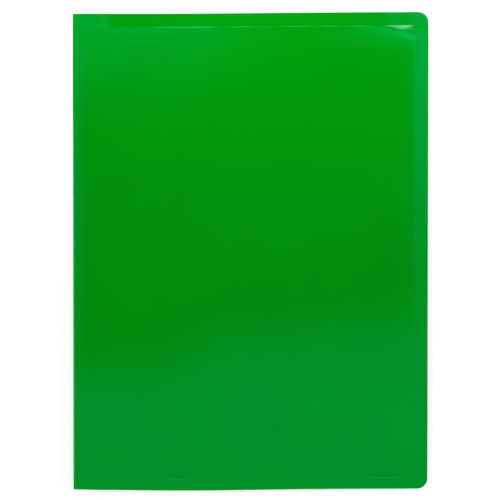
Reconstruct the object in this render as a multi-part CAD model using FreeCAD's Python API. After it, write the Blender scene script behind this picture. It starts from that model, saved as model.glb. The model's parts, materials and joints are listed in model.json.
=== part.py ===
"""Stamp album: a creased plastic cover around eight stock leaves with strip pockets on both faces.

The album lies closed on its back cover. X runs from the spine to the fore edge, Y from the tail to
the head and Z up through the leaves. The origin is the middle of the album's footprint. Millimetres.
"""

import FreeCAD
import Part

import math
import os

Vector = FreeCAD.Vector

# Stock leaf, without its hinge strip
leaf_count = 8
leaf_width = 219.0
leaf_height = 303.0
leaf_corner_radius = 3.0
leaf_pitch = 1.2

# Margins of the cover around the leaves
head_margin = 9.2
tail_margin = 7.8
fore_margin = 9.3
cover_corner_radius = 7.0

# Thickness of each sheet and film
cover_gauge = 0.8
leaf_gauge = 0.4
hinge_gauge = 0.2
strip_gauge = 0.12

# Room between the pieces
leaf_to_cover_gap = 0.7
crease_gap = 0.1
bar_to_cover_gap = 0.3
bead_clearance = 0.06
mouth_clearance = 0.07
gutter_room = 3.6

# Hinge strip: a film with a round bead along one edge, welded to the leaf along the other
bead_radius = 0.35
hinge_lap = 8.0

# Strip pockets, open towards the head
strip_height = 29.0
strip_gap = 4.0
strip_foot = 4.5
strip_head = 4.5
strip_side_margin = 1.5

# Front cover's drape over the leaf block: a steep step just outside the leaves, then a low shoulder
drape_room = 0.3
step_run = 1.2
step_rise = 0.35
shoulder_run = 16.0
shoulder_rise = 0.3
spine_flat_run = 6.0
spine_ramp_run = 24.0

# Levels through the thickness, measured at the two crease axes
leaf_to_crease = cover_gauge / 2 + leaf_to_cover_gap + hinge_gauge + leaf_gauge / 2
spine_span = 2 * leaf_to_crease + (leaf_count - 1) * leaf_pitch
back_crease_z = cover_gauge / 2
front_crease_z = back_crease_z + spine_span
album_thickness = spine_span + cover_gauge

# Plan of the album
bar_depth = spine_span / 2
gutter = bar_depth + gutter_room
cover_width = cover_gauge / 2 + gutter + leaf_width + fore_margin
cover_height = tail_margin + leaf_height + head_margin
spine_x = -cover_width / 2 + cover_gauge / 2
fore_edge_x = cover_width / 2
tail_y = -cover_height / 2
head_y = cover_height / 2
panel_x = spine_x + cover_gauge / 2 + crease_gap
leaf_left_x = spine_x + gutter
leaf_right_x = leaf_left_x + leaf_width
leaf_tail_y = tail_y + tail_margin
leaf_head_y = leaf_tail_y + leaf_height

# Bead seats in the binding bar: the lips close as far as a leaf's quarter turn allows
seat_radius = bead_radius + bead_clearance
half_swing = math.radians(45.0)
film_half_angle = math.asin((hinge_gauge / 2 + mouth_clearance) / seat_radius)
seat_lip = seat_radius * math.cos(half_swing + film_half_angle)


def along_y(points, low_y, high_y):
    """Solid with a cross-section given as (x, z) points, running from low_y to high_y."""
    corners = [Vector(x, low_y, z) for x, z in points]
    wire = Part.makePolygon(corners + corners[:1])
    return Part.Face(wire).extrude(Vector(0, high_y - low_y, 0))


def along_x(points, low_x, high_x):
    """Solid with a cross-section given as (y, z) points, running from low_x to high_x."""
    corners = [Vector(low_x, y, z) for y, z in points]
    wire = Part.makePolygon(corners + corners[:1])
    return Part.Face(wire).extrude(Vector(high_x - low_x, 0, 0))


def panel(left_x, right_x, low_y, high_y, radius, low_z, thickness):
    """Flat sheet with square corners at the spine and round corners at the fore edge."""
    bend = radius * math.sqrt(0.5)
    tail_arc = Part.Arc(
        Vector(right_x - radius, low_y, low_z),
        Vector(right_x - radius + bend, low_y + radius - bend, low_z),
        Vector(right_x, low_y + radius, low_z),
    )
    head_arc = Part.Arc(
        Vector(right_x, high_y - radius, low_z),
        Vector(right_x - radius + bend, high_y - radius + bend, low_z),
        Vector(right_x - radius, high_y, low_z),
    )
    spine_tail = Vector(left_x, low_y, low_z)
    spine_head = Vector(left_x, high_y, low_z)
    edges = [
        Part.LineSegment(spine_tail, tail_arc.StartPoint).toShape(),
        tail_arc.toShape(),
        Part.LineSegment(tail_arc.EndPoint, head_arc.StartPoint).toShape(),
        head_arc.toShape(),
        Part.LineSegment(head_arc.EndPoint, spine_head).toShape(),
        Part.LineSegment(spine_head, spine_tail).toShape(),
    ]
    return Part.Face(Part.Wire(edges)).extrude(Vector(0, 0, thickness))


def back_cover():
    return panel(panel_x, fore_edge_x, tail_y, head_y, cover_corner_radius, 0.0, cover_gauge)


def spine():
    """Strip between the creases, with a round edge on each crease axis."""
    half = cover_gauge / 2
    low = Vector(spine_x, tail_y, back_crease_z)
    high = Vector(spine_x, tail_y, front_crease_z)
    right = Vector(half, 0, 0)
    up = Vector(0, 0, half)
    low_round = Part.Arc(low - right, low - up, low + right)
    high_round = Part.Arc(high + right, high + up, high - right)
    edges = [
        low_round.toShape(),
        Part.LineSegment(low + right, high + right).toShape(),
        high_round.toShape(),
        Part.LineSegment(high - right, low - right).toShape(),
    ]
    return Part.Face(Part.Wire(edges)).extrude(Vector(0, cover_height, 0))


def front_cover():
    """Sheet that is flat at the spine and drapes over the leaf block along its other three sides."""
    top = album_thickness
    shoulder = top - shoulder_rise
    margin = shoulder - step_rise
    base = back_crease_z + spine_span / 2

    tail_step = leaf_tail_y - drape_room
    head_step = leaf_head_y + drape_room
    fore_step = leaf_right_x + drape_room
    over_height = along_x(
        [
            (tail_y, base),
            (tail_y, margin),
            (tail_step - step_run, margin),
            (tail_step, shoulder),
            (tail_step + shoulder_run, top),
            (head_step - shoulder_run, top),
            (head_step, shoulder),
            (head_step + step_run, margin),
            (head_y, margin),
            (head_y, base),
        ],
        spine_x,
        fore_edge_x,
    )
    over_width = along_y(
        [
            (spine_x, base),
            (spine_x, top),
            (fore_step - shoulder_run, top),
            (fore_step, shoulder),
            (fore_step + step_run, margin),
            (fore_edge_x, margin),
            (fore_edge_x, base),
        ],
        tail_y,
        head_y,
    )
    ramp_top = spine_x + spine_flat_run
    at_spine = along_y(
        [
            (spine_x, base),
            (spine_x, top),
            (ramp_top, top),
            (ramp_top + spine_ramp_run, margin),
            (ramp_top + spine_ramp_run, base),
        ],
        tail_y,
        head_y,
    )
    draped = over_height.common(over_width).fuse(at_spine)
    beneath = draped.copy()
    beneath.translate(Vector(0, 0, -cover_gauge))
    outline = panel(
        panel_x, fore_edge_x, tail_y, head_y, cover_corner_radius, base, album_thickness - base
    )
    return draped.cut(beneath).common(outline).removeSplitter()


def leaf_places():
    """Each leaf's number, facing side, sheet level and hinge axis, counted from the front cover."""
    places = []
    for number in range(1, leaf_count + 1):
        in_front_half = number <= leaf_count // 2
        side = 1 if in_front_half else -1
        sheet_z = front_crease_z - leaf_to_crease - (number - 1) * leaf_pitch
        hinge_z = sheet_z + side * (leaf_gauge + hinge_gauge) / 2
        # The axis is as deep as it is far from its own crease, so that the leaf also opens flat.
        depth = front_crease_z - hinge_z if in_front_half else hinge_z - back_crease_z
        places.append((number, side, sheet_z, spine_x + depth, hinge_z))
    return places


def binding_bar():
    """Ridge along the spine's inner face, with a seat for each leaf's bead on its two slopes."""
    base_x = spine_x + cover_gauge / 2
    low_z = cover_gauge / 2 + bar_to_cover_gap
    lip_offset = seat_lip * math.sqrt(2)
    profile = [
        (base_x, back_crease_z + low_z),
        (spine_x + low_z + lip_offset, back_crease_z + low_z),
        (spine_x + bar_depth, back_crease_z + bar_depth - lip_offset),
        (spine_x + bar_depth, front_crease_z - bar_depth + lip_offset),
        (spine_x + low_z + lip_offset, front_crease_z - low_z),
        (base_x, front_crease_z - low_z),
    ]
    bar = along_y(profile, leaf_tail_y, leaf_head_y)
    for _, _, _, hinge_x, hinge_z in leaf_places():
        start = Vector(hinge_x, leaf_tail_y, hinge_z)
        bar = bar.cut(Part.makeCylinder(seat_radius, leaf_height, start, Vector(0, 1, 0)))
    return bar


def leaf_sheet(sheet_z):
    low_z = sheet_z - leaf_gauge / 2
    return panel(
        leaf_left_x, leaf_right_x, leaf_tail_y, leaf_head_y, leaf_corner_radius, low_z, leaf_gauge
    )


def hinge_strip(hinge_x, hinge_z):
    """Film from the bead in the bar to the lap on the leaf's outer face."""
    half = hinge_gauge / 2
    neck = math.sqrt(bead_radius**2 - half**2)
    lap_x = leaf_left_x + hinge_lap
    upper_neck = Vector(hinge_x + neck, leaf_tail_y, hinge_z + half)
    lower_neck = Vector(hinge_x + neck, leaf_tail_y, hinge_z - half)
    upper_end = Vector(lap_x, leaf_tail_y, hinge_z + half)
    lower_end = Vector(lap_x, leaf_tail_y, hinge_z - half)
    bead = Part.Arc(upper_neck, Vector(hinge_x - bead_radius, leaf_tail_y, hinge_z), lower_neck)
    edges = [
        bead.toShape(),
        Part.LineSegment(lower_neck, lower_end).toShape(),
        Part.LineSegment(lower_end, upper_end).toShape(),
        Part.LineSegment(upper_end, upper_neck).toShape(),
    ]
    return Part.Face(Part.Wire(edges)).extrude(Vector(0, leaf_height, 0))


def pocket_strips(low_z):
    """The strips of one page, each a film lying on the leaf."""
    left_x = leaf_left_x + hinge_lap + strip_side_margin
    width = leaf_right_x - strip_side_margin - left_x
    pitch = strip_height + strip_gap
    rows = int((leaf_height - strip_foot - strip_head + strip_gap) // pitch)
    strips = []
    for row in range(rows):
        corner = Vector(left_x, leaf_tail_y + strip_foot + row * pitch, low_z)
        strips.append(Part.makeBox(width, strip_height, strip_gauge, corner))
    return Part.makeCompound(strips)


def save(name, shape):
    shape.exportStep(os.path.join("parts", name + ".step"))


os.makedirs("parts", exist_ok=True)
save("back_cover", back_cover())
save("spine", spine())
save("front_cover", front_cover())
save("binding_bar", binding_bar())
for number, side, sheet_z, hinge_x, hinge_z in leaf_places():
    leaf = f"leaf_{number}"
    save(leaf + "_sheet", leaf_sheet(sheet_z))
    save(leaf + "_hinge_strip", hinge_strip(hinge_x, hinge_z))
    save(leaf + "_front_strips", pocket_strips(sheet_z + leaf_gauge / 2))
    save(leaf + "_back_strips", pocket_strips(sheet_z - leaf_gauge / 2 - strip_gauge))
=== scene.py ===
import json
import math
import random

import bmesh
import bpy
from mathutils import Euler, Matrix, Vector, noise

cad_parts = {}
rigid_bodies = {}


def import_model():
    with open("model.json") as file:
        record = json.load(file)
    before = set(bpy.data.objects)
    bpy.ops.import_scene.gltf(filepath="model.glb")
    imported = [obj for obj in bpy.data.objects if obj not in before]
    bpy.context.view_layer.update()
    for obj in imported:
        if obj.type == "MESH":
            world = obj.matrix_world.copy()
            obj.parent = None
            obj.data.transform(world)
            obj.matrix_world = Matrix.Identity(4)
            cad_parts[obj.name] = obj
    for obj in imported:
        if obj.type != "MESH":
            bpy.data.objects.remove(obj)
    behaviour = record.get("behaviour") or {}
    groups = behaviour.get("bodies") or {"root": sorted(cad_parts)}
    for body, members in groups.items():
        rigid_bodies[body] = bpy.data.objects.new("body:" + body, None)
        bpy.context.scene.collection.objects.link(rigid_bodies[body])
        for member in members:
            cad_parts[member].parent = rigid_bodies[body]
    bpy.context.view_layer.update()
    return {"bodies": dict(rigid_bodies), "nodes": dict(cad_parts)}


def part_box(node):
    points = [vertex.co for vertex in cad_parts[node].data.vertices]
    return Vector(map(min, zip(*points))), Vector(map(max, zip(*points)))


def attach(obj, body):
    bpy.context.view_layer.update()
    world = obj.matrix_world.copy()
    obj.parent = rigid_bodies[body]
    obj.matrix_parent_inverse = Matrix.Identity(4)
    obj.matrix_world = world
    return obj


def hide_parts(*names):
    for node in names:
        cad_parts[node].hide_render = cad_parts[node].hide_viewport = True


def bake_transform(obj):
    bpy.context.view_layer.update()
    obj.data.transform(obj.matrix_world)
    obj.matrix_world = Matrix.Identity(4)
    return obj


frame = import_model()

mm = 0.001    # sizes below are in millimetres and become metres where a vertex is made
tiny = 1e-6
scene = bpy.context.scene
nodes = frame["nodes"]


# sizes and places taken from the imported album

def boxOf(node):
    low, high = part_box(node)
    return low / mm, high / mm


frontLow, frontHigh = boxOf("front_cover")
backLow, backHigh = boxOf("back_cover")
spineLow, spineHigh = boxOf("spine")
blockLow, blockHigh = boxOf("leaf_1_sheet")    # all leaves have this outline
coverGauge = backHigh.z - backLow.z
albumTop = spineHigh.z
leafNames = sorted(body for body in frame["bodies"] if body.startswith("leaf_"))
print("frame read:", len(nodes), "nodes,", len(leafNames), "leaves, album", round(albumTop, 2), "mm thick")


# small tools

def linear(hexColour):
    # sRGB hex to linear
    channels = [int(hexColour[i:i + 2], 16) / 255 for i in (1, 3, 5)]
    return [c / 12.92 if c <= 0.04045 else ((c + 0.055) / 1.055) ** 2.4 for c in channels] + [1.0]


def smooth(low, high, value):
    t = min(max((value - low) / (high - low), 0.0), 1.0)
    return t * t * (3 - 2 * t)


def addNode(tree, kind, settings=None, values=None, links=None):
    node = tree.nodes.new(kind)
    for name, value in (settings or {}).items():
        setattr(node, name, value)
    for socket, value in (values or {}).items():
        node.inputs[socket].default_value = value
    for socket, source in (links or {}).items():
        tree.links.new(source, node.inputs[socket])
    return node


def newMaterial(name):
    material = bpy.data.materials.new(name)
    material.use_nodes = True
    material.node_tree.nodes.clear()
    return material, material.node_tree


def linesThrough(*stops):
    # grid lines; each stop is (place, widest step to the next stop)
    lines = []
    for (start, step), (end, _) in zip(stops, stops[1:]):
        count = max(1, math.ceil((end - start) / step - tiny))
        lines += [start + (end - start) * k / count for k in range(count)]
    return lines + [stops[-1][0]]


def sheetSpots(us, vs, corner, seam):
    # each grid point on the flat sheet, with the way that the cut edge faces there
    lastU, lastV = len(us) - 1, len(vs) - 1
    midV = (vs[0] + vs[-1]) / 2
    spots = {}
    for i, u in enumerate(us):
        for j, v in enumerate(vs):
            outU = 1.0 if i == lastU else (-1.0 if i == 0 and not seam else 0.0)
            outV = 1.0 if j == lastV else (-1.0 if j == 0 else 0.0)
            shiftU = shiftV = 0.0
            side = 1.0 if v > midV else -1.0
            overU = u - (us[-1] - corner)
            overV = side * v - (side * (vs[-1] if side > 0 else vs[0]) - corner)
            if corner > 0 and overU > 0 and overV > 0:
                # a square of grid points is drawn in to a quarter disc
                p, q = overU / corner, overV / corner
                bentP = p * math.sqrt(1 - q * q / 2)
                bentQ = q * math.sqrt(1 - p * p / 2)
                shiftU = corner * (bentP - p)
                shiftV = side * corner * (bentQ - q)
                if i == lastU or j in (0, lastV):
                    outU, outV = bentP, side * bentQ
            spots[i, j] = (u + shiftU, v + shiftV, outU, outV)
    return spots


def sheetMesh(name, us, vs, place, gauge, rim, corner=0.0, seam=False, rimSteps=3):
    # A closed sheet with a rounded cut edge. us and vs are its grid lines, flat, the outer ones
    # rim inside the cut. place(u, v, depth) bends it. corner rounds the two corners at the end of u.
    # With seam, the start of u stays a square face, to butt on the next piece.
    lastU, lastV = len(us) - 1, len(vs) - 1
    spots = sheetSpots(us, vs, max(corner - rim, 0.0), seam)
    verts, faces = [], []

    def addVert(u, v, depth):
        verts.append(Vector(place(u, v, depth)) * mm)
        return len(verts) - 1

    # the two faces
    layers = []
    for depth in (0.0, gauge):
        layers.append({key: addVert(u, v, depth) for key, (u, v, _, _) in spots.items()})
    for i in range(lastU):
        for j in range(lastV):
            quad = [(i, j), (i + 1, j), (i + 1, j + 1), (i, j + 1)]
            faces.append([layers[0][key] for key in quad])
            faces.append([layers[1][key] for key in reversed(quad)])

    # the edge, in loops from the upper face round to the lower one
    border = [(i, 0) for i in range(lastU)] + [(lastU, j) for j in range(lastV)]
    border += [(i, lastV) for i in range(lastU, 0, -1)] + [(0, j) for j in range(lastV, 0, -1)]
    turns = [math.pi / 2 * k / rimSteps for k in range(1, rimSteps + 1)]
    profile = [(rim * math.sin(a), rim * (1 - math.cos(a))) for a in turns]
    lower = [(out, gauge - depth) for out, depth in reversed(profile)]
    profile += lower if gauge - 2 * rim > tiny else lower[1:]
    loops = [[layers[0][key] for key in border]]
    for out, depth in profile:
        loop = []
        for key in border:
            u, v, outU, outV = spots[key]
            loop.append(addVert(u + out * outU, v + out * outV, depth))
        loops.append(loop)
    loops.append([layers[1][key] for key in border])
    for upper, under in zip(loops, loops[1:]):
        for k in range(len(border)):
            n = (k + 1) % len(border)
            faces.append([upper[k], under[k], under[n], upper[n]])
    return finishMesh(name, verts, faces)


def finishMesh(name, verts, faces, sharpAngle=50):
    mesh = bpy.data.meshes.new(name)
    mesh.from_pydata(verts, [], faces)
    work = bmesh.new()
    work.from_mesh(mesh)
    bmesh.ops.recalc_face_normals(work, faces=work.faces)
    work.to_mesh(mesh)
    work.free()
    mesh.shade_smooth()
    mesh.set_sharp_from_angle(angle=math.radians(sharpAngle))
    piece = bpy.data.objects.new(name, mesh)
    scene.collection.objects.link(piece)
    return piece


# materials

def patternLinks(tree, spec, pattern):
    # the pattern breaks up the gloss and gives the surface its relief
    rough = addNode(tree, "ShaderNodeMapRange",
                    values={"To Min": spec["roughness"][0], "To Max": spec["roughness"][1]},
                    links={"Value": pattern})
    bump = addNode(tree, "ShaderNodeBump",
                   values={"Strength": spec["bump"], "Distance": spec["depth"] * mm},
                   links={"Height": pattern})
    return {"Roughness": rough.outputs["Result"], "Normal": bump.outputs["Normal"]}


def opaquePlastic(tree, spec, pattern, tint):
    # tint runs from the plastic's colour to its second shade
    colour = addNode(tree, "ShaderNodeMix", {"data_type": "RGBA"},
                     {"A": linear(spec["colour"]), "B": linear(spec["shade"])}, {"Factor": tint})
    shader = addNode(tree, "ShaderNodeBsdfPrincipled", values={"IOR": spec["ior"]},
                     links={"Base Color": colour.outputs["Result"], **patternLinks(tree, spec, pattern)})
    addNode(tree, "ShaderNodeOutputMaterial", links={"Surface": shader.outputs["BSDF"]})


polypropylene = {
    "colour": "#009507",
    "shade": "#008E09",
    "roughness": (0.06, 0.09),
    "ior": 1.49,
    "peelSize": 2.2,      # width of the orange peel's waves
    "depth": 0.0006,
    "bump": 1.0,
    "cloudSize": 60.0,    # width of the slow change in pigment
}


def glossyPolypropylene():
    # Polypropylene sheet, extruded and polished between rollers: an even, strong green with a
    # clear gloss that the slight orange peel of the rollers breaks up a little.
    material, tree = newMaterial("glossyPolypropylene")
    spec = polypropylene
    place = addNode(tree, "ShaderNodeTexCoord").outputs["Object"]
    cloud = addNode(tree, "ShaderNodeTexNoise",
                    values={"Scale": 1 / (spec["cloudSize"] * mm), "Detail": 2.0}, links={"Vector": place})
    peel = addNode(tree, "ShaderNodeTexNoise",
                   values={"Scale": 1 / (spec["peelSize"] * mm), "Detail": 3.0}, links={"Vector": place})
    opaquePlastic(tree, spec, peel.outputs["Fac"], cloud.outputs["Fac"])
    return material


blackSheet = {
    "colour": "#101113",
    "shade": "#1B1C1F",
    "roughness": (0.42, 0.56),
    "ior": 1.49,
    "grainSize": 0.9,     # a real matt grain is about 0.2 wide; drawn coarser so that it shows
    "depth": 0.012,
    "bump": 0.6,
}


def grainedPolypropylene():
    # Black polypropylene sheet, rolled with a fine matt grain: a soft, broken sheen over near black.
    material, tree = newMaterial("grainedPolypropylene")
    spec = blackSheet
    place = addNode(tree, "ShaderNodeTexCoord").outputs["Object"]
    grain = addNode(tree, "ShaderNodeTexNoise",
                    values={"Scale": 1 / (spec["grainSize"] * mm), "Detail": 4.0}, links={"Vector": place})
    opaquePlastic(tree, spec, grain.outputs["Fac"], grain.outputs["Fac"])
    return material


extrudedBar = {
    "colour": "#141517",
    "shade": "#202124",
    "roughness": (0.3, 0.42),
    "ior": 1.5,
    "lineSize": 0.7,      # spacing of the die lines across the bar; drawn coarser so that they show
    "lineLength": 90.0,
    "depth": 0.01,
    "bump": 0.5,
}


def extrudedBlackPlastic():
    # Black plastic, extruded: satin, with fine lines drawn along its length by the die.
    material, tree = newMaterial("extrudedBlackPlastic")
    spec = extrudedBar
    place = addNode(tree, "ShaderNodeTexCoord").outputs["Object"]
    across, along = 1 / (spec["lineSize"] * mm), 1 / (spec["lineLength"] * mm)
    stretched = addNode(tree, "ShaderNodeMapping", values={"Scale": (across, along, across)},
                        links={"Vector": place})
    lines = addNode(tree, "ShaderNodeTexNoise", values={"Scale": 1.0, "Detail": 2.0},
                    links={"Vector": stretched.outputs["Vector"]})
    opaquePlastic(tree, spec, lines.outputs["Fac"], lines.outputs["Fac"])
    return material


castFilm = {
    "colour": "#F6FBFA",
    "roughness": (0.04, 0.09),
    "ior": 1.49,
    "rippleSize": 20.0,   # slow ripples of a thin film under slight tension
    "depth": 0.02,
    "bump": 0.5,
}
weldedFilm = {
    "colour": "#DDE6E6",
    "roughness": (0.35, 0.5),
    "ior": 1.49,
    "rippleSize": 0.8,    # the sealing bar's pressed grid; a real one is about 0.4, drawn coarser
    "depth": 0.02,
    "bump": 0.5,
}


def clearFilm(name, spec):
    # Clear polypropylene film, cast on a polished roller: see-through, with a hard, rippled gloss.
    # The same film under the heated bar is pressed and cloudy.
    material, tree = newMaterial(name)
    place = addNode(tree, "ShaderNodeTexCoord").outputs["Object"]
    ripple = addNode(tree, "ShaderNodeTexNoise",
                     values={"Scale": 1 / (spec["rippleSize"] * mm), "Detail": 0.5}, links={"Vector": place})
    shader = addNode(tree, "ShaderNodeBsdfPrincipled",
                     values={"Base Color": linear(spec["colour"]), "IOR": spec["ior"],
                             "Transmission Weight": 1.0},
                     links=patternLinks(tree, spec, ripple.outputs["Fac"]))
    addNode(tree, "ShaderNodeOutputMaterial", links={"Surface": shader.outputs["BSDF"]})
    return material


coverFinish = glossyPolypropylene()
leafFinish = grainedPolypropylene()
barFinish = extrudedBlackPlastic()
filmClear = clearFilm("clearCastFilm", castFilm)
filmWelded = clearFilm("weldedFilm", weldedFilm)
print("materials made:", len(bpy.data.materials))


# the creased cover; slopes, skews and leans are in degrees

cover = {
    "rim": 0.22,                 # rounding of the die-cut edge
    "corner": 7.0,
    "creaseRadius": 0.9,         # outside of the rounded fold at the spine
    "spineRun": 13.0,            # the panel starts to fall towards the fold this far from it
    "spineSlope": 1.5,           # and ends with this slope
    "sideFade": (14.0, 29.0),    # beside the fold the sheet is too stiff to follow the leaves,
    "lineFade": (25.2, 27.6),    # their edge starts to show through here
    "lineEnd": (-8.0, 4.0),      # and stops here, counted from their fore edge
    "headRoom": -0.55,           # the step starts this far outside the leaves, or inside if negative
    "tailRoom": -0.4,
    "foreRoom": 0.3,
    "stepRun": 1.1,
    "headRun": 22.0,             # the sheet starts to fall this far inside the leaves' head edge,
    "headSlope": 0.8,            # falls by this slope at the edge,
    "headStep": 0.035,           # steps down over it
    "headMargin": 2.4,           # and leans on outwards
    # where the leaves press harder or less: middle, half width and how much the step grows
    "headPress": (
        (-43.0, 26.0, 2.4), (-6.0, 8.0, 0.7), (31.0, 6.0, 1.1),
        (53.0, 6.0, 0.7), (74.0, 8.0, 1.1), (90.0, 12.0, -0.5),
    ),
    "tailRun": 22.0,
    "tailSlope": 0.6,
    "tailStep": 0.07,
    "tailMargin": 1.6,
    "tailPress": (),
    "foreRun": 12.0,
    "foreSlope": 0.5,
    "foreTurn": 2.7,             # at the fore edge there is only a soft turn of this width,
    "freeTurn": 12.0,            # wider still where no leaf lies under it,
    "freeFrom": (-6.0, 2.0),     # which is past here at the head and tail
    "foreMargin": 2.6,
    "dent": 0.28,                # beside the leaves' corner at the head the sheet falls this much more,
    "dentSpan": (7.0, 21.0),     # all of it up to here before the corner, and nothing from here
    "dentRun": 3.5,              # it falls over this short run
    "dentFreeRun": 9.0,          # and past the corner over this longer one,
    "dentEnd": (-15.0, 1.0),     # with the change between these places, counted from the fore edge
    "dentReach": 0.6,            # both end this far past the step's start
    "dentCurve": 1.4,            # and begin more softly the higher this is
    "waves": 0.05,               # slow waves in the sheet, of this height,
    "waveSize": 130.0,
    "waveSeed": 7.0,
    "waveRun": 40.0,             # which grow from the fold over this width
    "headSkew": 0.293,           # the head and tail are cut a little out of square
    "headShift": -0.14,
    "headBow": -0.3,             # and bow a little
    "tailSkew": 0.212,
    "tailShift": 0.4,
    "tailBow": -0.95,
    "tailSquare": 20.0,          # the tail starts square at the fold and strays from there over this width
    "bowAt": -40.0,
    "bowSpread": 60.0,
}

# widest spacing of the cover's grid lines, and how far the close ones reach
coverGrid = {
    "spine": 2.0,
    "bendSteps": 8,
    "fold": 0.5,
    "foldReach": 2.0,
    "lineReach": 1.0,
    "flat": 3.0,
    "slope": 1.5,
    "margin": 0.8,
    "dent": 0.6,
    "foreEdge": 0.3,
    "edge": 0.2,         # over the leaves' head and tail edges, and beside the cut
    "edgeInside": 1.5,
    "tailInside": 1.0,
    "band": 0.4,
}


def steepness(name):
    return math.tan(math.radians(cover[name]))


def shoulderFall(inside, run, slope):
    # a fall that begins run inside an edge and reaches its slope there
    return slope / (2 * run) * max(run - max(inside, 0.0), 0.0) ** 2 if inside < run else 0.0


def endFall(side, x, beyond, sideFade, lineFade):
    # fall of the sheet near the head or tail; beyond is how far a point lies past the step's start
    fall = shoulderFall(-beyond, cover[side + "Run"], steepness(side + "Slope"))
    fall += steepness(side + "Margin") * max(beyond, 0.0)
    step = cover[side + "Step"] * smooth(0.0, cover["stepRun"], beyond) * lineFade
    for middle, half, share in cover[side + "Press"]:
        fall += share * step * (1 - smooth(0.0, half, abs(x - middle)))
    return fall * sideFade + step


def foreFall(beyond, beyondEnds):
    fall = shoulderFall(-beyond, cover["foreRun"], steepness("foreSlope"))
    free = smooth(*cover["freeFrom"], beyondEnds)
    turn = cover["foreTurn"] + (cover["freeTurn"] - cover["foreTurn"]) * free
    turned = beyond + turn / 2
    bend = min(max(turned, 0.0), turn)
    lean = bend * bend / (2 * turn) + max(turned - turn, 0.0)
    return fall + steepness("foreSlope") * max(beyond, 0.0) + steepness("foreMargin") * lean


def dentFall(beyondFore, beyond):
    # a short fall over the leaves' edge, which goes over into a long one past their corner
    depth = cover["dent"] * (1 - smooth(*cover["dentSpan"], -beyondFore))
    eased = smooth(*cover["dentEnd"], beyondFore)
    fall = 0.0
    for run, share in ((cover["dentRun"], 1 - eased), (cover["dentFreeRun"], eased)):
        into = 1 + (beyond - cover["dentReach"]) / run
        fall += share * min(max(into, 0.0), 1.0) ** cover["dentCurve"]
    return depth * fall


def spineFall(fromFold):
    return shoulderFall(fromFold, cover["spineRun"], steepness("spineSlope"))


def coverDrop(x, y):
    # how far the front panel lies below the album's top
    fromFold = x - spineLow.x
    beyondHead = y - blockHigh.y - cover["headRoom"]
    beyondTail = blockLow.y - cover["tailRoom"] - y
    beyondFore = x - blockHigh.x - cover["foreRoom"]
    sideFade = smooth(*cover["sideFade"], fromFold)
    lineFade = smooth(*cover["lineFade"], fromFold) * (1 - smooth(*cover["lineEnd"], beyondFore))
    fall = endFall("head", x, beyondHead, sideFade, lineFade)
    fall += endFall("tail", x, beyondTail, sideFade, lineFade)
    fall += foreFall(beyondFore, max(beyondHead, beyondTail)) + dentFall(beyondFore, beyondHead)
    wave = cover["waves"] * noise.noise(Vector((x, y, cover["waveSeed"])) / cover["waveSize"])
    return fall - wave * smooth(0.0, cover["waveRun"], fromFold) + spineFall(fromFold - cover["creaseRadius"])


def cutShift(side, x):
    bow = math.exp(-((x - cover["bowAt"]) / cover["bowSpread"]) ** 2)
    return steepness(side + "Skew") * x + cover[side + "Shift"] + cover[side + "Bow"] * bow


def outOfSquare(x, y):
    # how far a point of the front panel shifts towards the head because of how the sheet was cut
    along = (y - frontLow.y) / (frontHigh.y - frontLow.y)
    fromFold = smooth(spineLow.x, spineLow.x + cover["tailSquare"], x)
    return along * cutShift("head", x) + (1 - along) * cutShift("tail", x) * fromFold


def coverSkin(name, front):
    # Half of the cover, from the middle of the spine round one crease and along one panel.
    # Both halves are worked out face up, and the back one is then turned over.
    radius = cover["creaseRadius"]
    seamZ = albumTop / 2
    spineRun = albumTop - radius - seamZ
    bendRun = radius * math.pi / 2
    bendX, bendZ = spineLow.x + radius, albumTop - radius
    panelStart = spineRun + bendRun

    def place(u, v, depth):
        if u <= spineRun:
            x, z = spineLow.x + depth, seamZ + u
        elif u <= panelStart:
            turn = (u - spineRun) / radius
            x, z = bendX - (radius - depth) * math.cos(turn), bendZ + (radius - depth) * math.sin(turn)
            z -= spineFall(0.0) * math.sin(turn) if front else 0.0
        else:
            x = bendX + u - panelStart
            z = albumTop - depth - (coverDrop(x, v) if front else 0.0)
        if not front:
            return x, v, albumTop - z
        return x, v + outOfSquare(x, v) * smooth(0.0, spineRun, u), z

    def along(x):
        return panelStart + x - bendX

    grid, rim = coverGrid, cover["rim"]
    outside = cover["foreRoom"] + cover["stepRun"] + grid["band"]
    lineStart, lineStop = (along(spineLow.x + reach) for reach in cover["lineFade"])
    leafEnd, foreCut = along(blockHigh.x), along(frontHigh.x) - rim
    tailCut, headCut = frontLow.y + rim, frontHigh.y - rim
    us = linesThrough(
        (0.0, grid["spine"]),
        (spineRun, bendRun / grid["bendSteps"]),
        (panelStart, grid["fold"]),
        (panelStart + grid["foldReach"], grid["slope"]),
        (panelStart + cover["spineRun"], grid["flat"]),
        (lineStart - grid["lineReach"], grid["fold"]),
        (lineStop + grid["lineReach"], grid["flat"]),
        (leafEnd - cover["dentSpan"][1], grid["margin"]),
        (leafEnd - grid["edgeInside"], grid["foreEdge"]),
        (leafEnd + outside, grid["margin"]),
        (foreCut - grid["band"], grid["edge"]),
        (foreCut, None))
    vs = linesThrough(
        (tailCut, grid["edge"]),
        (tailCut + grid["band"], grid["margin"]),
        (blockLow.y - outside, grid["edge"]),
        (blockLow.y + grid["tailInside"], grid["slope"]),
        (blockLow.y + cover["tailRun"], grid["flat"]),
        (blockHigh.y - cover["headRun"], grid["slope"]),
        (blockHigh.y - cover["dentRun"], grid["dent"]),
        (blockHigh.y - grid["edgeInside"], grid["edge"]),
        (blockHigh.y + outside, grid["margin"]),
        (headCut - grid["band"], grid["edge"]),
        (headCut, None))
    piece = sheetMesh(name, us, vs, place, coverGauge, rim, cover["corner"], seam=True)
    piece.data.materials.append(coverFinish)
    return piece


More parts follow.
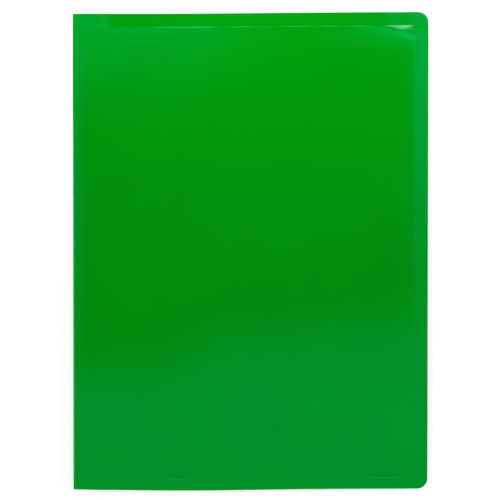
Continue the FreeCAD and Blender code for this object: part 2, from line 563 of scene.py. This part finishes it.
foldReach = Vector((1.0, 0.0, 1.0)) * cover["creaseRadius"] / 2
frontSkin = coverSkin("cover_front_half", front=True)
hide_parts("front_cover", "spine")
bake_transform(frontSkin)
foldReach.z = -foldReach.z
backSkin = coverSkin("cover_back_half", front=False)
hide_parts("back_cover", "spine")
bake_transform(backSkin)
print("cover made:", len(frontSkin.data.vertices) + len(backSkin.data.vertices), "vertices")


# stock leaves with their strips

leaf = {
    "rim": 0.12,
    "corner": 3.0,
    "wave": 0.16,         # how far a leaf strays from flat towards its fore edge
    "waveSize": 120.0,
    "waveApart": 40.0,    # keeps the waves of one leaf from repeating on the next
    "root": 12.0,         # the leaf is flat this far from its root
    "rootStep": 4.0,      # widest spacing of the grid lines there,
    "step": 9.0,          # on the rest of the leaf,
    "cornerStep": 0.7,    # at the round corners
    "edgeStep": 0.2,      # and beside the cut
}
strip = {
    "gauge": 0.09,
    "rim": 0.03,
    "weld": 1.6,          # width of the welded foot and ends
    "weldGap": 0.012,
    "eased": 4.0,         # the film is free of the welds this far from its edge
    "slack": 0.05,        # how far it stands off the leaf
    "slackRange": (0.8, 1.2),
    "belly": 0.05,        # and how much further in its middle
    "bellyRange": (0.6, 1.2),
    "lip": 0.07,          # and at its open edge, which is eased outwards
    "lipRun": 2.5,
    "edgeStep": 0.8,      # spacing of the grid lines at the welds and the lip
    "step": 5.0,
}


def leafWave(number, x, y):
    reach = smooth(blockLow.x + leaf["root"], blockHigh.x, x)
    spot = Vector((x, y, number * leaf["waveApart"])) / leaf["waveSize"]
    return leaf["wave"] * reach * noise.noise(spot)


def leafBoard(name, number):
    low, high = boxOf(f"{name}_sheet")
    rim, corner, edgeStep = leaf["rim"], leaf["corner"], leaf["edgeStep"]

    def place(u, v, depth):
        return u, v, high.z - depth + leafWave(number, u, v)

    us = linesThrough(
        (low.x + rim, edgeStep),
        (low.x + rim + edgeStep, leaf["rootStep"]),
        (low.x + leaf["root"], leaf["step"]),
        (high.x - corner, leaf["cornerStep"]),
        (high.x - rim - edgeStep, edgeStep),
        (high.x - rim, None))
    vs = linesThrough(
        (low.y + rim, edgeStep),
        (low.y + rim + edgeStep, leaf["cornerStep"]),
        (low.y + corner, leaf["step"]),
        (high.y - corner, leaf["cornerStep"]),
        (high.y - rim - edgeStep, edgeStep),
        (high.y - rim, None))
    piece = sheetMesh(f"{name}_board", us, vs, place, high.z - low.z, rim, corner)
    piece.data.materials.append(leafFinish)
    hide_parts(f"{name}_sheet")
    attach(piece, name)


def pagePockets(name, number, face):
    node = f"{name}_{face}_strips"
    low, high = boxOf(node)
    ys = sorted({round(vertex.co.y / mm, 3) for vertex in nodes[node].data.vertices})
    side = 1.0 if face == "front" else -1.0
    leafFace = low.z if face == "front" else high.z
    weld, eased, rim, edgeStep = strip["weld"], strip["eased"], strip["rim"], strip["edgeStep"]
    rows = []
    for row, (foot, mouth) in enumerate(zip(ys[0::2], ys[1::2])):
        chance = random.Random(f"{node} {row}")
        slack = strip["slack"] * chance.uniform(*strip["slackRange"])
        belly = strip["belly"] * chance.uniform(*strip["bellyRange"])

        def place(u, v, depth):
            ends = smooth(weld, eased, min(u - low.x, high.x - u))
            free = ends * smooth(weld, eased, v - foot)
            swell = belly * math.sin(math.pi * (v - foot) / (mouth - foot))
            lip = strip["lip"] * smooth(mouth - strip["lipRun"], mouth, v)
            off = strip["weldGap"] + free * (slack + swell + lip) + strip["gauge"] - depth
            return u, v, leafFace + leafWave(number, u, v) + side * off

        us = linesThrough(
            (low.x + rim, weld),
            (low.x + weld, edgeStep),
            (low.x + eased, leaf["step"]),
            (high.x - eased, edgeStep),
            (high.x - weld, weld),
            (high.x - rim, None))
        vs = linesThrough(
            (foot + rim, weld),
            (foot + weld, edgeStep),
            (foot + eased, strip["step"]),
            (mouth - strip["lipRun"], edgeStep),
            (mouth - rim, None))
        film = sheetMesh(f"{node}_{row}", us, vs, place, strip["gauge"], rim, rimSteps=1)
        film.data.materials.append(filmClear)
        film.data.materials.append(filmWelded)
        for polygon in film.data.polygons:
            middle = polygon.center / mm
            inEnds = middle.x < low.x + weld or middle.x > high.x - weld
            polygon.material_index = 1 if inEnds or middle.y < foot + weld else 0
        rows.append(film)
    with bpy.context.temp_override(active_object=rows[0], selected_editable_objects=rows):
        bpy.ops.object.join()
    piece = rows[0]
    piece.name = piece.data.name = f"{name}_{face}_pockets"
    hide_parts(node)
    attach(piece, name)


for name in leafNames:
    number = int(name.split("_")[1])
    leafBoard(name, number)
    pagePockets(name, number, "front")
    pagePockets(name, number, "back")
    nodes[f"{name}_hinge_strip"].data.materials[0] = leafFinish
nodes["binding_bar"].data.materials[0] = barFinish
print("leaves made:", len(leafNames), "with strips on both faces")


# studio: floor, backdrop, lamps and cards

studio = {
    "floorRings": (150.0, 400.0, 900.0, 2200.0),    # the last one is where the cove starts
    "coveRadius": 900.0,
    "coveSteps": 8,
    "wallTop": 2600.0,
    "spokes": 96,
    "floorColour": "#E8E8E8",
    "lift": (0.43, 0.88),           # white seen on top of the lit paper, near the album and far from it
    "liftReach": (900.0, 1800.0),
    "wallFade": (150.0, 1000.0),    # the backdrop falls off to grey over this height
    "wallLift": 0.1,
    "skyLevel": 0.004,
    "spotRadius": 120.0,
    "cardHeight": 1000.0,
    "cardStep": 3.0,                # each card hangs this much above the last
    "mottleSize": 40.0,             # width of the patches on a mottled card
    "mottleRange": (0.3, 0.7),
}


def roomMesh():
    # a round floor that curves up into its own backdrop and is open at the top
    reach, cove = studio["floorRings"][-1], studio["coveRadius"]
    outline = [(r, 0.0) for r in studio["floorRings"]]
    for k in range(1, studio["coveSteps"] + 1):
        turn = math.pi / 2 * k / studio["coveSteps"]
        outline.append((reach + cove * math.sin(turn), cove * (1 - math.cos(turn))))
    outline.append((reach + cove, studio["wallTop"]))
    spokes = studio["spokes"]
    verts = [Vector((0, 0, 0))]
    for r, z in outline:
        for k in range(spokes):
            turn = 2 * math.pi * k / spokes
            verts.append(Vector((r * math.cos(turn), r * math.sin(turn), z)) * mm)
    faces = [[0, 1 + k, 1 + (k + 1) % spokes] for k in range(spokes)]
    for ring in range(len(outline) - 1):
        for k in range(spokes):
            n = (k + 1) % spokes
            a, b = 1 + ring * spokes, 1 + (ring + 1) * spokes
            faces.append([a + k, b + k, b + n, a + n])
    return finishMesh("white_room", verts, faces)


def matteWhitePaper():
    # White backdrop paper, matt. The camera, gloss and clear film see it lifted towards white;
    # the light on the album stays that of the lit paper.
    material, tree = newMaterial("matteWhitePaper")
    path = addNode(tree, "ShaderNodeLightPath")
    seen = addNode(tree, "ShaderNodeMath", {"operation": "MAXIMUM"},
                   links={0: path.outputs["Is Camera Ray"], 1: path.outputs["Is Glossy Ray"]})
    seen = addNode(tree, "ShaderNodeMath", {"operation": "MAXIMUM"},
                   links={0: seen.outputs[0], 1: path.outputs["Is Transmission Ray"]})
    place = addNode(tree, "ShaderNodeTexCoord").outputs["Object"]
    reach = addNode(tree, "ShaderNodeVectorMath", {"operation": "LENGTH"}, links={0: place})
    white = addNode(tree, "ShaderNodeMapRange", {"interpolation_type": "SMOOTHSTEP"},
                    {"From Min": studio["liftReach"][0] * mm, "From Max": studio["liftReach"][1] * mm,
                     "To Min": studio["lift"][0], "To Max": studio["lift"][1]},
                    {"Value": reach.outputs["Value"]})
    level = addNode(tree, "ShaderNodeSeparateXYZ", links={0: place})
    fade = addNode(tree, "ShaderNodeMapRange", {"interpolation_type": "SMOOTHSTEP"},
                   {"From Min": studio["wallFade"][0] * mm, "From Max": studio["wallFade"][1] * mm,
                    "To Min": 1.0, "To Max": studio["wallLift"]},
                   {"Value": level.outputs["Z"]})
    lift = addNode(tree, "ShaderNodeMath", {"operation": "MULTIPLY"},
                   links={0: white.outputs["Result"], 1: fade.outputs["Result"]})
    lift = addNode(tree, "ShaderNodeMath", {"operation": "MULTIPLY"},
                   links={0: seen.outputs[0], 1: lift.outputs[0]})
    paper = addNode(tree, "ShaderNodeBsdfDiffuse", values={"Color": linear(studio["floorColour"])})
    glow = addNode(tree, "ShaderNodeEmission", links={"Strength": lift.outputs[0]})
    both = addNode(tree, "ShaderNodeAddShader", links={0: paper.outputs[0], 1: glow.outputs[0]})
    addNode(tree, "ShaderNodeOutputMaterial", links={"Surface": both.outputs[0]})
    return material


def hang(name, lamp, at, aim, power):
    lamp.energy = power
    holder = bpy.data.objects.new(name, lamp)
    holder.location = Vector(at) * mm
    holder.rotation_euler = (Vector(at) - Vector(aim)).to_track_quat("Z", "Y").to_euler()
    holder.visible_camera = False
    scene.collection.objects.link(holder)
    return holder


def softbox(name, at, size, power):
    lamp = bpy.data.lights.new(name, "AREA")
    lamp.shape = "RECTANGLE"
    lamp.size, lamp.size_y = size[0] * mm, size[1] * mm
    hang(name, lamp, at, (0, 0, 0), power)


def softSpot(name, at, aim, reach, power):
    # a snooted lamp, brightest in the middle; the gloss doesn't show it
    lamp = bpy.data.lights.new(name, "SPOT")
    lamp.spot_size = 2 * math.atan(reach / (Vector(at) - Vector(aim)).length)
    lamp.spot_blend = 1.0
    lamp.shadow_soft_size = studio["spotRadius"] * mm
    hang(name, lamp, at, aim, power).visible_glossy = False


def card(name, spanX, spanY, fades, level, colour, lean=0.0, kink=(-1, 1, 0), mottle=0.0):
    # A pale card overhead that only the gloss of the cover sees. It fades out over the widths in fades,
    # from its left, right, near and far side. lean slants its near and far sides, and kink shifts them
    # between two places along X.
    hung = sum(thing.name.endswith("_card") for thing in scene.objects)
    height = studio["cardHeight"] + studio["cardStep"] * hung
    outline = [(spanX[0], spanY[0]), (spanX[1], spanY[0]), (spanX[1], spanY[1]), (spanX[0], spanY[1])]
    spare = Vector((0, abs(kink[2]), 0))
    corners = [Vector((x, y + lean * x, height)) for x, y in outline]
    corners = [corner + (spare if k > 1 else -spare) for k, corner in enumerate(corners)]
    mesh = bpy.data.meshes.new(name)
    mesh.from_pydata([corner * mm for corner in corners], [], [[0, 1, 2, 3]])
    mesh.materials.append(cardPaper(name + "Paper", spanX, spanY, fades, level, colour, lean, kink, mottle))
    board = bpy.data.objects.new(name, mesh)
    scene.collection.objects.link(board)
    for ray in ("camera", "diffuse", "shadow", "transmission"):
        setattr(board, "visible_" + ray, False)
    board.light_linking.receiver_collection = coverOnly


def cardPaper(name, spanX, spanY, fades, level, colour, lean, kink, mottle):
    # Tinted tissue paper, lit from behind: an even or mottled glow that thins out to nothing.
    material, tree = newMaterial(name)
    place = addNode(tree, "ShaderNodeTexCoord").outputs["Object"]
    part = addNode(tree, "ShaderNodeSeparateXYZ", links={0: place})
    upright = addNode(tree, "ShaderNodeMath", {"operation": "MULTIPLY_ADD"}, {1: -lean},
                      {0: part.outputs["X"], 2: part.outputs["Y"]})
    shift = addNode(tree, "ShaderNodeMapRange", {"interpolation_type": "SMOOTHSTEP"},
                    {"From Min": kink[0] * mm, "From Max": kink[1] * mm,
                     "To Min": 0.0, "To Max": kink[2] * mm},
                    {"Value": part.outputs["X"]})
    upright = addNode(tree, "ShaderNodeMath", {"operation": "SUBTRACT"},
                      links={0: upright.outputs[0], 1: shift.outputs["Result"]})
    patches = addNode(tree, "ShaderNodeTexNoise",
                      values={"Scale": 1 / (studio["mottleSize"] * mm), "Detail": 2.0},
                      links={"Vector": place})
    low, high = studio["mottleRange"]
    glow = addNode(tree, "ShaderNodeMapRange",
                   values={"From Min": low, "From Max": high,
                           "To Min": level * (1 - mottle), "To Max": level * (1 + mottle)},
                   links={"Value": patches.outputs["Fac"]}).outputs["Result"]
    sides = [(part.outputs["X"], spanX[0], fades[0]), (part.outputs["X"], spanX[1], -fades[1]),
             (upright.outputs[0], spanY[0], fades[2]), (upright.outputs[0], spanY[1], -fades[3])]
    for along, side, fade in sides:
        ramp = addNode(tree, "ShaderNodeMapRange", {"interpolation_type": "SMOOTHSTEP"},
                       {"From Min": side * mm, "From Max": (side + fade) * mm}, {"Value": along})
        glow = addNode(tree, "ShaderNodeMath", {"operation": "MULTIPLY"},
                       links={0: glow, 1: ramp.outputs["Result"]}).outputs[0]
    paper = addNode(tree, "ShaderNodeEmission", values={"Color": linear(colour)}, links={"Strength": glow})
    air = addNode(tree, "ShaderNodeBsdfTransparent")
    both = addNode(tree, "ShaderNodeAddShader", links={0: paper.outputs[0], 1: air.outputs[0]})
    addNode(tree, "ShaderNodeOutputMaterial", links={"Surface": both.outputs[0]})
    return material


room = roomMesh()
room.data.materials.append(matteWhitePaper())
world = bpy.data.worlds.new("dimRoom")
world.use_nodes = True
sky = world.node_tree.nodes["Background"]
sky.inputs["Color"].default_value = linear("#FFFFFF")
sky.inputs["Strength"].default_value = studio["skyLevel"]
scene.world = world

# lamps: place, size or aim and reach, then power in watts
softbox("head_lamp", (-150, 950, 1000), (700, 450), 6.5)
softbox("left_lamp", (-1150, -100, 900), (500, 700), 7.0)
softbox("right_lamp", (1150, 0, 900), (500, 700), 10.7)
softbox("tail_lamp", (0, -1200, 900), (800, 400), 6.2)
softSpot("head_spot", (12, 800, 1100), (12, 430, 0), 375, 57.0)

# cards: spans along X and Y, fades, level and colour
coverOnly = bpy.data.collections.new("cover_only")    # they shine on the cover and not on the leaves
for piece in (frontSkin, backSkin):
    coverOnly.objects.link(piece)
card("low_card", (-420, 420), (-620, -107), (60, 60, 100, 90), 0.51, "#00FFFF", 0.08, (-105, -30, 21))
card("middle_card", (-420, 420), (-160, 130), (60, 60, 50, 120), 0.05, "#0090FF")
card("head_left_card", (-420, 60), (110, 335), (60, 230, 120, 50), 0.75, "#00FFAC", mottle=0.3)
card("head_glow_card", (-300, 60), (215, 335), (130, 230, 75, 50), 1.3, "#00FF9C", mottle=0.4)
card("head_right_card", (60, 300), (215, 316), (150, 60, 75, 28), 3.6, "#00FF94", mottle=0.3)
card("fore_card", (165, 420), (-200, 420), (130, 60, 450, 60), 1.45, "#00FFD0")
card("spine_card", (-460, -222), (-330, 330), (60, 50, 400, 60), 0.5, "#00FFFF")
card("line_card", (-260, 260), (410, 700), (60, 60, 40, 60), 4.0, "#50FFB4", mottle=0.8)
card("corner_card", (163, 250), (358, 640), (25, 45, 70, 150), 9.2, "#BCFFE4")
card("dent_card", (120, 225), (285, 338), (40, 15, 20, 25), 1.4, "#00FFD0")
card("tail_left_card", (-112, -82), (-570, -480), (10, 10, 30, 25), 2.5, "#58FFBC")
card("tail_right_card", (140, 184), (-570, -480), (12, 12, 30, 25), 2.5, "#58FFBC")
print("studio made:", len(bpy.data.lights), "lamps,", len(bpy.data.materials), "materials in all")


# camera straight above, fitted to the four corners of the cover in the picture

view = {
    "lens": 138.4,
    "sensor": 36.0,
    "place": (8.74, 31.3, 1300.0),
    "turn": (-1.338, 0.401, 0.025),
}
cameraData = bpy.data.cameras.new("camera")
cameraData.lens = view["lens"]
cameraData.sensor_width = view["sensor"]
camera = bpy.data.objects.new("camera", cameraData)
camera.location = Vector(view["place"]) * mm
camera.rotation_euler = Euler([math.radians(turn) for turn in view["turn"]])
scene.collection.objects.link(camera)
scene.camera = camera
scene.view_settings.view_transform = "Standard"
